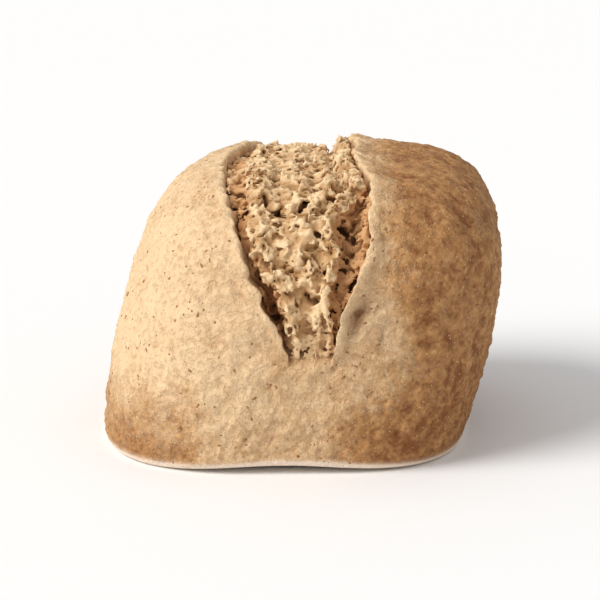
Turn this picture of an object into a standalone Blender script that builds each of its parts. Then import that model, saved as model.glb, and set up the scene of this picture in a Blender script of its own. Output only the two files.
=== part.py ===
"""A square whole wheat roll, one solid of bread on a flat base.

The dough was cut square, so the plan is a rounded square and the crown is broad. It rose more on one
side, so the crown leans to +X. In the oven the crust tore open from the middle of the front face,
over the crown, to the back shoulder. The crumb that swelled out of the tear is coarse, with pores,
between a narrow crack on the left and a wide groove under a raised lip on the right.

Run it with: blender --background --python part.py
Metres, +Z up, front towards -Y, origin under the middle of the roll's box, on the surface it rests on.
"""

import math

import bmesh
import bpy
import numpy as np
from mathutils import Vector, noise

# Body
BASE_HALF_WIDTH = 0.0406  # left to right, at the base
BASE_HALF_DEPTH = 0.0415  # front to back, at the base
HEIGHT = 0.0620  # of the crown, without the lip of the tear
BELLY_HEIGHT = 0.0170  # where the sides stand furthest out
BELLY_BULGE = 0.0012  # how much further out than at the base
LEAN = 0.0108  # how far the crown has slumped to +X
LEAN_ARC = 1.0  # radians of a sine that the leaning centre line follows
CROWN_POWER = 3.7  # of the superellipse seen from the side: 2 is round, more is boxier
BASE_PLAN_POWER = 3.0  # of the superellipse seen from above, at the base
CROWN_PLAN_POWER = 2.9  # and at the crown
EDGE_RADIUS = 0.0018  # where the sides turn under to the base
UNDER_RUN = 0.0050  # from that turn to the flat that the roll rests on
ARCH_RISE = 0.0018  # how far the base's edge is lifted in the middle of the front
ARCH_HALF_WIDTH = 0.0190
ARCH_REACH = 0.0140  # how far back from the front edge the lift dies away
ARCH_FADE_TOP = 0.0140  # height at which it has died away on the front face

# Tear: places along it are distances over the crown, from the crown's middle, front negative
TEAR_FRONT = -0.0680
TEAR_BACK = 0.0470
TEAR_HALF_WIDTH = 0.01625
TEAR_SKEW = 0.85  # under 1 moves the widest place to the front
TEAR_BLUNTNESS = 0.5  # under 1 makes the two ends blunter
TEAR_OFFSET = 0.0010  # of the tear's middle line from the body's, at the ends
TEAR_DRIFT = 0.0098  # how far that line wanders to -X on the crown
DRIFT_REACH = 0.9  # share of half a wave that the wandering line follows
DRIFT_POWER = 1.3
TEAR_FADE_FRONT = 0.07  # shares of the tear's length over which it grows to full depth
TEAR_FADE_BACK = 0.12
# Crests and troughs across the tear: (share of its half width, height over the body).
# On the front face a narrow crack runs down the left and a wide groove down the right.
FRONT_SECTION = (
    (-1.40, 0.0),
    (-1.04, 0.0008),  # left lip
    (-0.88, -0.0038),  # floor of the crack
    (-0.66, -0.0002),  # torn strand beside it
    (-0.36, -0.0014),
    (0.00, -0.0004),  # middle of the swollen crumb
    (0.19, -0.0012),
    (0.35, 0.0004),  # torn strand beside the groove
    (0.54, -0.0046),  # floor of the groove
    (0.98, 0.0012),  # right lip, thin
    (1.20, -0.0006),  # dip in the crust behind it
    (1.55, 0.0),
)
# On the crown the crumb fills the tear, and the right lip stands higher than anything else.
CROWN_SECTION = (
    (-1.40, 0.0),
    (-1.03, 0.0007),
    (-0.92, -0.0020),
    (-0.76, 0.0),
    (-0.52, -0.0010),
    (-0.12, 0.0001),
    (0.14, -0.0008),
    (0.34, 0.0),
    (0.52, -0.0017),  # hollow beside the crumb that is pressed against the lip
    (0.72, 0.0005),
    (0.80, 0.0004),
    (0.92, -0.0028),
    (1.03, 0.0013),
    (1.45, 0.0),
)
CROWN_FROM = 0.25  # shares of the tear's length between which the section turns to the crown's
CROWN_TO = 0.37
BACK_FROM = 0.84  # and between which it turns back, behind the crown
BACK_TO = 0.96
CRUMB_RIGHT_FRONT = 0.50  # share of the half width that pores and crags reach on the right
CRUMB_RIGHT_CROWN = 0.86
CRUMB_LEFT = -0.92
CRUMB_FADE = 0.10
OVERHANG_RIGHT = 0.0011  # how far the right lip leans over the groove
OVERHANG_LEFT = 0.0007
OVERHANG_SHARE = 0.13  # share of the half width that leans with it
LIP_WANDER = 0.0013  # how far the lips stray from an even curve
LIP_WANDER_LENGTH = 0.0110
LEFT_LIP_SEED = -4.4
RIGHT_LIP_SEED = 4.4
LOW_FROM = 0.245  # shares of the tear's length between which its low end draws in
LOW_TO = 0.075
LOW_DRAW_LEFT = 0.08  # shares of the half width that each side draws in by
LOW_DRAW_RIGHT = 0.38

# Relief
LUMP_HEIGHT = 0.0009  # slow unevenness of the whole body
LUMP_LENGTH = 0.0270
BLISTER_HEIGHT = 0.0003  # small unevenness of the crust
BLISTER_LENGTH = 0.0085
CRAG_HEIGHT = 0.0011  # of the torn crumb
CRAG_LENGTH = 0.0046
CRAG_SMOOTHNESS = 1.0  # more lets the finer layers count for less
CRAG_LAYER_RATIO = 2.0  # of one layer's length to the next finer one's
CRAG_LAYERS = 2
PORE_DEPTH = 0.0017
PORE_SPACING = 0.0037
PORE_SHARE = 0.62  # of a pore's own cell that it takes up

# Mesh: the sheet's lines run along the tear, so that its lips and cracks are clean
SHEET_ROWS = 46  # front to back, between the turns to the base
TEAR_COLUMNS = 12  # across the tear and the crust just beside it
CRUST_COLUMNS = 14  # on each side of those
TURN_LINES = 2  # rows and columns that follow each turn to the base
RINGS_FROM = 0.6  # shares of the way to the rim between which squares on the sheet
RINGS_TO = 0.9  # become rings of one height on the body
TEAR_BAND = 1.3  # half widths of the tear that its columns cover
LEAST_BAND = 0.006  # least half width that the columns draw in to, past the tear's ends
TEAR_CUTS = 2  # cuts of each cell's side in and beside the tear
CUT_PAST_ENDS = 0.03  # shares of the tear's length past its ends that are cut as well
FIND_STEPS = 24  # halvings when a column's place is found
FIND_REACH = 0.8  # share of the sheet that it is looked for in
PROFILE_STEPS = 60

CRUST_COLOUR = (0.58, 0.33, 0.15, 1.0)
CRUST_ROUGHNESS = 0.85


def smooth_step(share):
    """0 below 0, 1 above 1, and an even curve between."""
    share = min(1.0, max(0.0, share))
    return share * share * (3.0 - 2.0 * share)


def side_outline():
    """Runs of (share of the path, reach, height) from the middle of the crown to the resting face.

    Reach is the distance from the centre line as a share of the belly's. The path is measured on a
    body with the base's half width, and its length is given too.
    """
    belly = BASE_HALF_WIDTH + BELLY_BULGE
    reaches, heights = [], []
    for step in range(PROFILE_STEPS + 1):
        angle = math.pi / 2 * step / PROFILE_STEPS
        reaches.append(belly * math.sin(angle) ** (2 / CROWN_POWER))
        rise = max(0.0, math.cos(angle)) ** (2 / CROWN_POWER)
        heights.append(BELLY_HEIGHT + (HEIGHT - BELLY_HEIGHT) * rise)
    for step in range(1, PROFILE_STEPS + 1):
        down = step / PROFILE_STEPS
        reaches.append(belly - BELLY_BULGE * down * down)
        heights.append(BELLY_HEIGHT + (EDGE_RADIUS - BELLY_HEIGHT) * down)
    for step in range(1, PROFILE_STEPS + 1):
        angle = math.pi / 2 * step / PROFILE_STEPS
        reaches.append(BASE_HALF_WIDTH - EDGE_RADIUS * (1 - math.cos(angle)))
        heights.append(EDGE_RADIUS * (1 - math.sin(angle)))
    reaches.append(reaches[-1] - UNDER_RUN)
    heights.append(0.0)
    reaches, heights = np.array(reaches), np.array(heights)
    lengths = np.concatenate([[0], np.cumsum(np.hypot(np.diff(reaches), np.diff(heights)))])
    return lengths / lengths[-1], reaches / belly, heights, lengths[-1]


PATH_SHARES, PATH_REACHES, PATH_HEIGHTS, PATH_LENGTH = side_outline()
UNDER_SHARE = UNDER_RUN / PATH_LENGTH
TURN_SHARE = EDGE_RADIUS * math.pi / 2 / PATH_LENGTH


def lean_at(height):
    return LEAN * math.sin(LEAN_ARC * height / HEIGHT) / math.sin(LEAN_ARC)


def plan_radius(angle, height):
    """Distance from the centre line to the belly's outline, in the direction of that angle."""
    power = BASE_PLAN_POWER + (CROWN_PLAN_POWER - BASE_PLAN_POWER) * height / HEIGHT
    wide = abs(math.cos(angle)) / (BASE_HALF_WIDTH + BELLY_BULGE)
    deep = abs(math.sin(angle)) / (BASE_HALF_DEPTH + BELLY_BULGE)
    return (wide**power + deep**power) ** (-1 / power)


def on_body(u, v):
    """Where the sheet's point (u, v), each from -1 to 1, lies on the smooth body.

    Gives the point, its distance to the right of the body's leaning centre line, and its distance
    along the body, over the crown, from the crown's middle to the back.
    """
    disc_x = u * math.sqrt(1 - v * v / 2)
    disc_y = v * math.sqrt(1 - u * u / 2)
    angle = math.atan2(disc_y, disc_x)
    round_share = math.hypot(disc_x, disc_y)
    ring_share = max(abs(u), abs(v))
    ring = smooth_step((ring_share - RINGS_FROM) / (RINGS_TO - RINGS_FROM))
    share = min(1.0, round_share + (ring_share - round_share) * ring)
    height = float(np.interp(share, PATH_SHARES, PATH_HEIGHTS))
    reach = float(np.interp(share, PATH_SHARES, PATH_REACHES)) * plan_radius(angle, height)
    across = reach * math.cos(angle)
    back = reach * math.sin(angle)
    along = share * math.sin(angle) * PATH_LENGTH
    return Vector((across + lean_at(height), back, height)), across, along


def tear_line(along):
    """The tear's middle and half width there, before its lips wander, and the share of its length."""
    length_share = (along - TEAR_FRONT) / (TEAR_BACK - TEAR_FRONT)
    inside = min(1.0, max(0.0, length_share))
    swell = max(0.0, math.sin(math.pi * inside**TEAR_SKEW)) ** TEAR_BLUNTNESS
    drift = max(0.0, math.sin(DRIFT_REACH * math.pi * inside)) ** DRIFT_POWER
    return TEAR_OFFSET - TEAR_DRIFT * drift, TEAR_HALF_WIDTH * swell, length_share


def lip_wander(along, seed):
    return LIP_WANDER * noise.noise(Vector((along / LIP_WANDER_LENGTH, seed, seed)))


def in_tear(across, along):
    """Place in the tear: share of its half width, -1 and 1 at the lips, and share of its length."""
    middle, half_width, length_share = tear_line(along)
    half_width = max(half_width, LEAST_BAND)
    low = smooth_step((LOW_FROM - length_share) / (LOW_FROM - LOW_TO))
    left = half_width * (1 - LOW_DRAW_LEFT * low) + lip_wander(along, LEFT_LIP_SEED)
    right = half_width * (1 - LOW_DRAW_RIGHT * low) + lip_wander(along, RIGHT_LIP_SEED)
    offset = across - middle
    return offset / (right if offset > 0 else left), length_share


def tear_depth_share(length_share):
    return smooth_step(length_share / TEAR_FADE_FRONT) * smooth_step(
        (1 - length_share) / TEAR_FADE_BACK
    )


def crown_share(length_share):
    """1 where the tear crosses the crown, 0 on the front face and at the back."""
    risen = smooth_step((length_share - CROWN_FROM) / (CROWN_TO - CROWN_FROM))
    fallen = smooth_step((length_share - BACK_FROM) / (BACK_TO - BACK_FROM))
    return risen * (1 - fallen)


def section_height(section, width_share):
    """Height over the body across the tear: smooth from each crest to the next trough."""
    for (start, low), (end, high) in zip(section, section[1:]):
        if start <= width_share <= end:
            return low + (high - low) * smooth_step((width_share - start) / (end - start))
    return 0.0


def tear_height(width_share, length_share):
    front = section_height(FRONT_SECTION, width_share)
    crown = section_height(CROWN_SECTION, width_share)
    return front + (crown - front) * crown_share(length_share)


def crumb_share(width_share, length_share):
    """1 on coarse torn crumb, 0 on crust and on the groove's toasted wall."""
    reach = CRUMB_RIGHT_CROWN - CRUMB_RIGHT_FRONT
    right = CRUMB_RIGHT_FRONT + reach * crown_share(length_share)
    return smooth_step((width_share - CRUMB_LEFT) / CRUMB_FADE) * smooth_step(
        (right + CRUMB_FADE - width_share) / CRUMB_FADE
    )


def overhang(width_share):
    """How far a point of the lips is drawn over the tear, to +X."""
    left = math.exp(-(((width_share + 1.0) / OVERHANG_SHARE) ** 2))
    right = math.exp(-(((width_share - 1.0) / OVERHANG_SHARE) ** 2))
    return OVERHANG_LEFT * left - OVERHANG_RIGHT * right


def crumb_height(point):
    """Crags and pores of torn crumb."""
    crag = CRAG_HEIGHT * noise.fractal(
        point / CRAG_LENGTH, CRAG_SMOOTHNESS, CRAG_LAYER_RATIO, CRAG_LAYERS
    )
    nearest = noise.voronoi(point / PORE_SPACING)[0][0]
    pore = PORE_DEPTH * smooth_step(1 - nearest / PORE_SHARE)
    return crag - pore


def crust_height(point):
    """Slow lumps and small blisters of the baked crust."""
    lump = LUMP_HEIGHT * noise.noise(point / LUMP_LENGTH)
    return lump + BLISTER_HEIGHT * noise.noise(point / BLISTER_LENGTH)


def arch_height(point):
    """How far the base's front edge is lifted there."""
    front = smooth_step(1 - (BASE_HALF_DEPTH + point.y) / ARCH_REACH)
    low = smooth_step(1 - point.z / ARCH_FADE_TOP)
    return ARCH_RISE * front * low * math.exp(-((point.x / ARCH_HALF_WIDTH) ** 2))


def column_place(width_share, v):
    """The u at which that share of the tear's half width crosses the sheet's row v."""
    low, high = -FIND_REACH, FIND_REACH
    for _ in range(FIND_STEPS):
        u = (low + high) / 2
        _, across, along = on_body(u, v)
        if in_tear(across, along)[0] < width_share:
            low = u
        else:
            high = u
    return (low + high) / 2


def rim_places():
    """Places of the lines from the front or left rim to where the side begins to rise."""
    turn = [step * TURN_SHARE / TURN_LINES for step in range(TURN_LINES + 1)]
    return [-1] + [-1 + UNDER_SHARE + place for place in turn]


def places_between(start, end, cells):
    """Evenly spaced places after the start, up to the end."""
    return [start + (end - start) * step / cells for step in range(1, cells + 1)]


def row_of_places(v):
    """The u of each column on the sheet's row v."""
    rim = rim_places()
    places = rim + places_between(rim[-1], column_place(-TEAR_BAND, v), CRUST_COLUMNS)
    for width_share in places_between(-TEAR_BAND, TEAR_BAND, TEAR_COLUMNS):
        places.append(column_place(width_share, v))
    places += places_between(places[-1], -rim[-1], CRUST_COLUMNS)
    return places + [-place for place in reversed(rim[:-1])]


def flat_sheet():
    """A square sheet from -1 to 1 each way, cut finer in and beside the tear."""
    sheet = bmesh.new()
    rim = rim_places()
    between = places_between(rim[-1], -rim[-1], SHEET_ROWS)
    rows = []
    for v in rim + between + [-place for place in reversed(rim[:-1])]:
        rows.append([sheet.verts.new((u, v, 0)) for u in row_of_places(v)])
    for near, far in zip(rows, rows[1:]):
        for column in range(len(near) - 1):
            sheet.faces.new((near[column], near[column + 1], far[column + 1], far[column]))
    torn = set()
    for face in sheet.faces:
        centre = face.calc_center_median()
        _, across, along = on_body(centre.x, centre.y)
        width_share, length_share = in_tear(across, along)
        if abs(width_share) < TEAR_BAND and -CUT_PAST_ENDS < length_share < 1 + CUT_PAST_ENDS:
            torn.update(face.edges)
    bmesh.ops.subdivide_edges(sheet, edges=list(torn), cuts=TEAR_CUTS, use_grid_fill=True)
    return sheet


def wrap_over_body(sheet):
    """Lays the sheet on the smooth body, then raises and sinks it by the tear and the relief."""
    tear_places = {}
    for vertex in sheet.verts:
        vertex.co, across, along = on_body(vertex.co.x, vertex.co.y)
        tear_places[vertex] = in_tear(across, along)
    sheet.normal_update()
    outward = {vertex: vertex.normal.copy() for vertex in sheet.verts}
    for vertex in sheet.verts:
        if vertex.is_boundary:
            continue
        width_share, length_share = tear_places[vertex]
        depth = tear_depth_share(length_share)
        height = depth * tear_height(width_share, length_share) + crust_height(vertex.co)
        height += depth * crumb_share(width_share, length_share) * crumb_height(vertex.co)
        normal = outward[vertex]
        to_right = (Vector((1, 0, 0)) - normal * normal.x).normalized()
        shift = normal * height + to_right * depth * overhang(width_share)
        vertex.co += shift * smooth_step(vertex.co.z / EDGE_RADIUS)
        vertex.co.z += arch_height(vertex.co)


def close_base(sheet):
    """Fills the sheet's rim with the flat face that the roll rests on."""
    rim = [edge for edge in sheet.edges if edge.is_boundary]
    base = bmesh.ops.contextual_create(sheet, geom=rim)["faces"]
    bmesh.ops.triangulate(sheet, faces=base)
    bmesh.ops.recalc_face_normals(sheet, faces=sheet.faces)


def centre_on_origin(sheet):
    """Moves the roll so that its box stands centred on the origin."""
    corners = np.array([vertex.co for vertex in sheet.verts])
    low, high = corners.min(axis=0), corners.max(axis=0)
    middle = (low + high) / 2
    bmesh.ops.translate(sheet, verts=sheet.verts, vec=(-middle[0], -middle[1], -low[2]))


def crust_material():
    material = bpy.data.materials.new("whole_wheat_crust")
    material.use_nodes = True
    shader = material.node_tree.nodes["Principled BSDF"]
    shader.inputs["Base Color"].default_value = CRUST_COLOUR
    shader.inputs["Roughness"].default_value = CRUST_ROUGHNESS
    shader.inputs["Metallic"].default_value = 0.0
    material.diffuse_color = CRUST_COLOUR
    return material


def make_roll():
    sheet = flat_sheet()
    wrap_over_body(sheet)
    close_base(sheet)
    centre_on_origin(sheet)
    mesh = bpy.data.meshes.new("whole_wheat_roll")
    sheet.to_mesh(mesh)
    sheet.free()
    mesh.materials.append(crust_material())
    mesh.shade_smooth()
    roll = bpy.data.objects.new("whole_wheat_roll", mesh)
    bpy.context.scene.collection.objects.link(roll)
    return roll


def main():
    for old in list(bpy.data.objects):
        bpy.data.objects.remove(old)
    make_roll()


main()
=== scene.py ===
import math

import bmesh
import bpy
import numpy as np
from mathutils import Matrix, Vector, noise


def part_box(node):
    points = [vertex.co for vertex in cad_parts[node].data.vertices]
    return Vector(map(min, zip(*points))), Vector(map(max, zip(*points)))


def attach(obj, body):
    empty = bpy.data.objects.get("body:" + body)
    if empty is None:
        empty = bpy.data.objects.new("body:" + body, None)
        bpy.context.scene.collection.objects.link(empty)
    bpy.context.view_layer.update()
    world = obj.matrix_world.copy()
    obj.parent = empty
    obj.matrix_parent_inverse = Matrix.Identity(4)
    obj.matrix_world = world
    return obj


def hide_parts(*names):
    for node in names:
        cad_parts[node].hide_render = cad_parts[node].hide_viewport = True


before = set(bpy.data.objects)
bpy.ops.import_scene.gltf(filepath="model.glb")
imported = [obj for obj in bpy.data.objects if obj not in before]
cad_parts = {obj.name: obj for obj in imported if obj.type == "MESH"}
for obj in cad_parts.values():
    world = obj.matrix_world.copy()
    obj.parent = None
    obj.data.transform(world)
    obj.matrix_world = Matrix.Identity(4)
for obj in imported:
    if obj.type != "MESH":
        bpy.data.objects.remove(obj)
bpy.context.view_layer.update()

rollNode = "whole_wheat_roll"
rollBody = "root"

# The dough's body: the same superellipse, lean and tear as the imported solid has, in metres
dough = {
    "baseHalfWidth": 0.0406,
    "baseHalfDepth": 0.0415,
    "height": 0.0620,
    "bellyHeight": 0.0170,
    "bellyBulge": 0.0012,
    "lean": 0.0108,
    "leanArc": 1.0,
    "crownPower": 3.7,
    "basePlanPower": 3.0,
    "crownPlanPower": 2.9,
    "edgeRadius": 0.0018,
    "underRun": 0.0050,
    "archRise": 0.0018,
    "archHalfWidth": 0.0190,
    "archReach": 0.0140,
    "archFadeTop": 0.0140,
    "rings": (0.6, 0.9),
    "lumpHeight": 0.0009,
    "lumpLength": 0.0270,
    "blisterHeight": 0.0003,
    "blisterLength": 0.0085,
}

# The tear: places along it are distances over the crown, from the crown's middle, front negative
tear = {
    "front": -0.0680,
    "back": 0.0470,
    "halfWidth": 0.01625,
    "skew": 0.85,
    "bluntness": 0.5,
    "offset": 0.0010,
    "drift": 0.0098,
    "driftReach": 0.9,
    "driftPower": 1.3,
    "fadeFront": 0.07,
    "fadeBack": 0.12,
    "crown": (0.25, 0.37),  # shares of the length over which the tear comes on to the crown
    "leaves": (0.84, 0.96),  # and leaves it for the back
    "leastHalfWidth": 0.006,
    "wander": 0.0013,
    "wanderLength": 0.0110,
    "leftSeed": -4.4,
    "rightSeed": 4.4,
    "rag": 0.0006,  # finer wandering of the lips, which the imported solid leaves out
    "ragLength": 0.0024,
    "low": (0.245, 0.075),
    "lowDrawLeft": 0.08,
    "lowDrawRight": 0.38,
}


def smoothStep(share):
    share = np.clip(share, 0.0, 1.0)
    return share * share * (3.0 - 2.0 * share)


# Goes smoothly from 0 at the start to 1 at the end
def fade(value, start, end):
    return smoothStep((value - start) / (end - start))


def bell(value, middle, reach):
    return np.exp(-(((value - middle) / reach) ** 2))


def sideOutline(steps=60):
    belly = dough["baseHalfWidth"] + dough["bellyBulge"]
    rise = dough["height"] - dough["bellyHeight"]
    radius = dough["edgeRadius"]
    angles = np.linspace(0, math.pi / 2, steps + 1)
    turn, down = angles[1:], np.linspace(0, 1, steps + 1)[1:]
    reaches = np.concatenate([
        belly * np.sin(angles) ** (2 / dough["crownPower"]),
        belly - dough["bellyBulge"] * down * down,
        dough["baseHalfWidth"] - radius * (1 - np.cos(turn)),
    ])
    heights = np.concatenate([
        dough["bellyHeight"] + rise * np.clip(np.cos(angles), 0, 1) ** (2 / dough["crownPower"]),
        dough["bellyHeight"] + (radius - dough["bellyHeight"]) * down,
        radius * (1 - np.sin(turn)),
        [0.0],
    ])
    reaches = np.append(reaches, reaches[-1] - dough["underRun"])
    lengths = np.concatenate([[0], np.cumsum(np.hypot(np.diff(reaches), np.diff(heights)))])
    return lengths / lengths[-1], reaches / belly, heights, lengths[-1]


pathShares, pathReaches, pathHeights, pathLength = sideOutline()
underShare = dough["underRun"] / pathLength
turnShare = dough["edgeRadius"] * math.pi / 2 / pathLength


def leanAt(height):
    return dough["lean"] * np.sin(dough["leanArc"] * height / dough["height"]) / math.sin(dough["leanArc"])


def planRadius(angle, height):
    change = dough["crownPlanPower"] - dough["basePlanPower"]
    power = dough["basePlanPower"] + change * height / dough["height"]
    wide = np.abs(np.cos(angle)) / (dough["baseHalfWidth"] + dough["bellyBulge"])
    deep = np.abs(np.sin(angle)) / (dough["baseHalfDepth"] + dough["bellyBulge"])
    return (wide**power + deep**power) ** (-1 / power)


# A sheet of dough, u and v from -1 to 1, is wrapped over the body. Gives the points, and each
# one's distance to the right of the leaning centre line and along the body over the crown.
def onBody(u, v):
    discX = u * np.sqrt(1 - v * v / 2)
    discY = v * np.sqrt(1 - u * u / 2)
    angle = np.arctan2(discY, discX)
    roundShare = np.hypot(discX, discY)
    ringShare = np.maximum(np.abs(u), np.abs(v))
    ring = fade(ringShare, *dough["rings"])
    share = np.minimum(1.0, roundShare + (ringShare - roundShare) * ring)
    height = np.interp(share, pathShares, pathHeights)
    reach = np.interp(share, pathShares, pathReaches) * planRadius(angle, height)
    across = reach * np.cos(angle)
    points = np.stack([across + leanAt(height), reach * np.sin(angle), height], axis=-1)
    return points, across, share * np.sin(angle) * pathLength


def tearLine(along):
    lengthShare = (along - tear["front"]) / (tear["back"] - tear["front"])
    inside = np.clip(lengthShare, 0.0, 1.0)
    swell = np.maximum(0.0, np.sin(math.pi * inside ** tear["skew"])) ** tear["bluntness"]
    drift = np.maximum(0.0, np.sin(tear["driftReach"] * math.pi * inside)) ** tear["driftPower"]
    return tear["offset"] - tear["drift"] * drift, tear["halfWidth"] * swell, lengthShare


# Noise along a line, read from a table so that whole grids can look it up
def lineNoise(along, length, seed, reach=0.12, steps=2400):
    places = np.linspace(-reach, reach, steps)
    heights = [noise.noise(Vector((place / length, seed, seed))) for place in places]
    return np.interp(along, places, heights)


def lipWander(along, seed):
    slow = tear["wander"] * lineNoise(along, tear["wanderLength"], seed)
    return slow + tear["rag"] * lineNoise(along, tear["ragLength"], seed)


# 1 at the tear's low end, where the lips are drawn together
def drawnShare(lengthShare):
    return fade(lengthShare, *tear["low"])


# Place in the tear: share of its half width, -1 and 1 at the lips, and share of its length
def inTear(across, along):
    middle, halfWidth, lengthShare = tearLine(along)
    halfWidth = np.maximum(halfWidth, tear["leastHalfWidth"])
    low = drawnShare(lengthShare)
    left = halfWidth * (1 - tear["lowDrawLeft"] * low) + lipWander(along, tear["leftSeed"])
    right = halfWidth * (1 - tear["lowDrawRight"] * low) + lipWander(along, tear["rightSeed"])
    offset = across - middle
    return offset / np.where(offset > 0, right, left), lengthShare


def tearDepthShare(lengthShare):
    return smoothStep(lengthShare / tear["fadeFront"]) * smoothStep((1 - lengthShare) / tear["fadeBack"])


# 1 where the tear crosses the crown, 0 on the front face and at the back
def crownShare(lengthShare):
    return fade(lengthShare, *tear["crown"]) * (1 - fade(lengthShare, *tear["leaves"]))


# The u at which each share of the tear's half width crosses each row v of the sheet
def columnPlaces(widthShares, v, halvings=24, reach=0.8):
    widthShares, v = np.broadcast_arrays(widthShares, v)
    low = np.full(v.shape, -reach)
    high = np.full(v.shape, reach)
    for _ in range(halvings):
        middle = (low + high) / 2
        _, across, along = onBody(middle, v)
        under = inTear(across, along)[0] < widthShares
        low = np.where(under, middle, low)
        high = np.where(under, high, middle)
    return (low + high) / 2


# A smooth curve through (place, value) points that never swings past them
def curveThrough(points, at):
    places, values = np.array(points).T
    steps = np.diff(places)
    slopes = np.diff(values) / steps
    bends = np.zeros(len(places))
    same = slopes[:-1] * slopes[1:] > 0
    harmonic = 2 * slopes[:-1] * slopes[1:] / np.where(same, slopes[:-1] + slopes[1:], 1.0)
    bends[1:-1] = np.where(same, harmonic, 0.0)
    at = np.clip(at, places[0], places[-1])
    cell = np.clip(np.searchsorted(places, at) - 1, 0, len(steps) - 1)
    step = steps[cell]
    share = (at - places[cell]) / step
    rise = values[cell] * (1 + 2 * share) * (1 - share) ** 2
    rise += values[cell + 1] * share**2 * (3 - 2 * share)
    rise += bends[cell] * step * share * (1 - share) ** 2
    return rise - bends[cell + 1] * step * share**2 * (1 - share)


# The numbers of a grid's points, and its cells as quads
def gridCells(rows, columns):
    index = np.arange(rows * columns).reshape(rows, columns)
    corners = (index[:-1, :-1], index[:-1, 1:], index[1:, 1:], index[1:, :-1])
    return index, np.stack(corners, axis=-1).reshape(-1, 4)


def unitLong(vectors, least=1e-12):
    return vectors / np.maximum(np.linalg.norm(vectors, axis=-1, keepdims=True), least)


def gridNormals(points):
    return unitLong(np.cross(np.gradient(points, axis=1), np.gradient(points, axis=0)))


def noiseAt(points, length, seed=0.0):
    shift = Vector((seed, seed, seed))
    flat = points.reshape(-1, 3) / length
    values = [noise.noise(Vector(point) + shift) for point in flat]
    return np.array(values).reshape(points.shape[:-1])


def doughLumps(points):
    lumps = dough["lumpHeight"] * noiseAt(points, dough["lumpLength"])
    return lumps + dough["blisterHeight"] * noiseAt(points, dough["blisterLength"])


def archHeight(points):
    x, y, z = points[..., 0], points[..., 1], points[..., 2]
    front = smoothStep(1 - (dough["baseHalfDepth"] + y) / dough["archReach"])
    low = smoothStep(1 - z / dough["archFadeTop"])
    return dough["archRise"] * front * low * bell(x, 0.0, dough["archHalfWidth"])


# Moves sheet points by a height along the body's normal and a shift to the right along its skin
def raiseFromBody(points, heights, shifts):
    normals = gridNormals(points)
    toRight = unitLong(np.array([1.0, 0, 0]) - normals * normals[..., :1])
    rest = smoothStep(points[..., 2] / dough["edgeRadius"])[..., None]
    raised = points + (normals * heights[..., None] + toRight * shifts[..., None]) * rest
    raised[..., 2] += archHeight(raised)
    return raised


# Node helpers: values are put in by socket name or number, and a socket is linked
def addNode(tree, kind, values=None, **settings):
    node = tree.nodes.new(kind)
    for name, value in settings.items():
        setattr(node, name, value)
    for key, value in (values or {}).items():
        feed(tree, node.inputs[key], value)
    return node


# The same, for the node's first output
def made(tree, kind, values=None, **settings):
    return addNode(tree, kind, values, **settings).outputs[0]


def feed(tree, socket, value):
    if isinstance(value, bpy.types.NodeSocket):
        tree.links.new(value, socket)
    else:
        socket.default_value = value


def calc(tree, operation, *values, clamp=False):
    settings = {"operation": operation, "use_clamp": clamp}
    return made(tree, "ShaderNodeMath", dict(enumerate(values)), **settings)


def plus(tree, *values, clamp=False):
    return calc(tree, "ADD", *values, clamp=clamp)


def minus(tree, *values, clamp=False):
    return calc(tree, "SUBTRACT", *values, clamp=clamp)


def times(tree, *values):
    return calc(tree, "MULTIPLY", *values)


def vectorCalc(tree, operation, *values):
    node = addNode(tree, "ShaderNodeVectorMath", dict(enumerate(values)), operation=operation)
    return node.outputs["Value" if operation in ("LENGTH", "DOT_PRODUCT") else "Vector"]


def scaled(tree, vector, factor):
    return made(tree, "ShaderNodeVectorMath", {0: vector, "Scale": factor}, operation="SCALE")


def remap(tree, value, fromMin, fromMax, toMin=0.0, toMax=1.0, smooth=False):
    kind = "SMOOTHSTEP" if smooth else "LINEAR"
    places = {"Value": value, "From Min": fromMin, "From Max": fromMax, "To Min": toMin, "To Max": toMax}
    return made(tree, "ShaderNodeMapRange", places, interpolation_type=kind, clamp=True)


# Lays a tree's nodes out in columns, each to the right of what feeds it
def arrange(tree, across=220, down=260):
    columns = {}
    for node in sorted(tree.nodes, key=lambda node: node.type == "GROUP_OUTPUT"):
        feeding = [columns.get(link.from_node, 0) for socket in node.inputs for link in socket.links]
        columns[node] = 1 + max(feeding, default=0)
        row = list(columns.values()).count(columns[node])
        node.location = (across * columns[node], -down * row)


# A tree whose sockets are given by their kinds, or by the numbers that they start with
def newTree(name, kind, inputs, outputs):
    tree = bpy.data.node_groups.new(name, kind)
    for direction, sockets in (("INPUT", inputs), ("OUTPUT", outputs)):
        for label, value in sockets.items():
            socketKind = "NodeSocket" + {int: "Int", float: "Float"}.get(type(value), str(value))
            socket = tree.interface.new_socket(label, in_out=direction, socket_type=socketKind)
            if not isinstance(value, str):
                socket.default_value = value
    return tree, tree.nodes.new("NodeGroupInput").outputs, tree.nodes.new("NodeGroupOutput").inputs


def meshFrom(points, faces, name):
    mesh = bpy.data.meshes.new(name)
    mesh.from_pydata(np.reshape(points, (-1, 3)).tolist(), [], faces)
    mesh.update()
    return mesh


def linkPiece(data, name):
    piece = bpy.data.objects.new(name, data)
    bpy.context.scene.collection.objects.link(piece)
    return piece


# Puts a camera or a lamp in its place, turned to the roll's middle
def linkAimed(data, place):
    piece = linkPiece(data, data.name)
    piece.location = place
    look = Vector(view["aim"]) - piece.location
    piece.rotation_euler = look.to_track_quat("-Z", "Y").to_euler()
    return piece


def dropPiece(piece):
    mesh = piece.data
    bpy.data.objects.remove(piece)
    bpy.data.meshes.remove(mesh)


# The plain mesh that a piece has with its modifier, which is then taken off
def meshThrough(piece, modifier):
    graph = bpy.context.evaluated_depsgraph_get()
    mesh = bpy.data.meshes.new_from_object(piece.evaluated_get(graph), depsgraph=graph)
    piece.modifiers.remove(modifier)
    return mesh


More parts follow.
